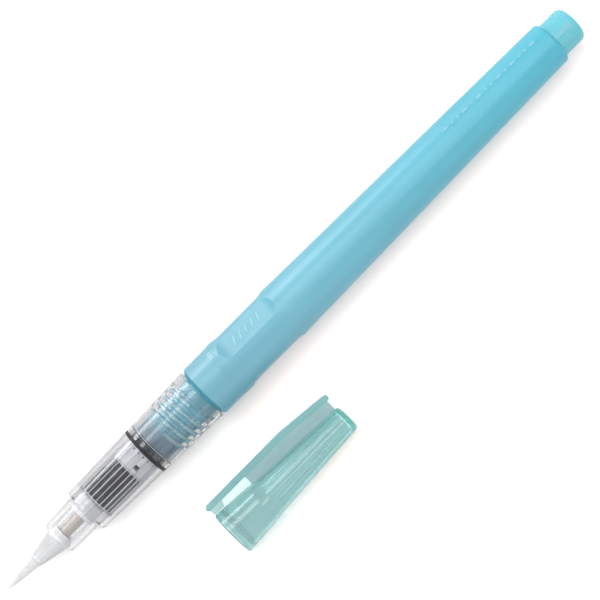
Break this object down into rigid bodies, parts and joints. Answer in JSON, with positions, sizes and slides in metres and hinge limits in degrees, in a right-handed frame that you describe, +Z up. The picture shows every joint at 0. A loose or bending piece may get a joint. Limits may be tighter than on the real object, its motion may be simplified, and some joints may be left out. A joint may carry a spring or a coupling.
{
  "type": "brush pen",
  "caption": "Squeezable ink brush pen with a fine bristle tip, a clear screw-off head, a translucent barrel with finger flats and a clipped cap lying beside it.",
  "frame": {"origin": "on the surface the pen and its cap lie on, under the middle of the box round both of them", "axes": "+X along the pen from the brush tip to the tail, +Y from the cap towards the pen, +Z up"},
  "size_m": [0.16, 0.0353, 0.0123],
  "materials": {
    "bristles": "fine white synthetic filaments, soft sheen along the hairs",
    "clear_plastic": "clear polished moulded plastic",
    "white_plastic": "satin moulded",
    "wick_felt": "pressed fibre",
    "grey_foam": "fine porous fibre",
    "black_rubber": "smooth",
    "white_rubber": "smooth",
    "dark_plastic": "satin moulded",
    "barrel_plastic": "milky translucent, soft satin",
    "cap_plastic": "clear tinted, polished"
  },
  "bodies": {
    "barrel": {"barrel": "barrel_plastic", "tail_plug": "barrel_plastic"},
    "ring": {"seal_ring": "black_rubber"},
    "head": {"tip_bristles": "bristles", "outer_bristles": "bristles", "bristle_root": "white_plastic", "ferrule": "clear_plastic", "wick": "wick_felt", "feed_collar": "white_plastic", "front_housing": "clear_plastic", "ink_core": "grey_foam", "rib_cage": "white_plastic", "valve_sleeve": "white_plastic", "flow_pad": "grey_foam", "stopper": "dark_plastic", "neck_gasket": "white_rubber", "rear_collar": "clear_plastic"},
    "cap": {"cap_shell": "cap_plastic", "cap_clip": "cap_plastic"}
  },
  "joints": [
    {"name": "head_advance", "type": "slide", "parent": "barrel", "child": "ring", "axis": [-1, 0, 0], "range_m": [0, 0.00936]},
    {"name": "head_turn", "type": "hinge", "parent": "ring", "child": "head", "pos_m": [-0.04085, 0.0115, 0.00615], "axis": [-1, 0, 0], "range_deg": [0, 1800]},
    {"name": "cap_turn", "type": "hinge", "parent": "barrel", "child": "cap", "pos_m": [-0.06114, -0.00055, 0.006], "axis": [-0.0321, -0.0091, -0.9994], "range_deg": [0, 180.03]}
  ],
  "couplings": [
    {"joint": "head_advance", "follows": "head_turn", "m_per_rad": 0.00029762}
  ]
}
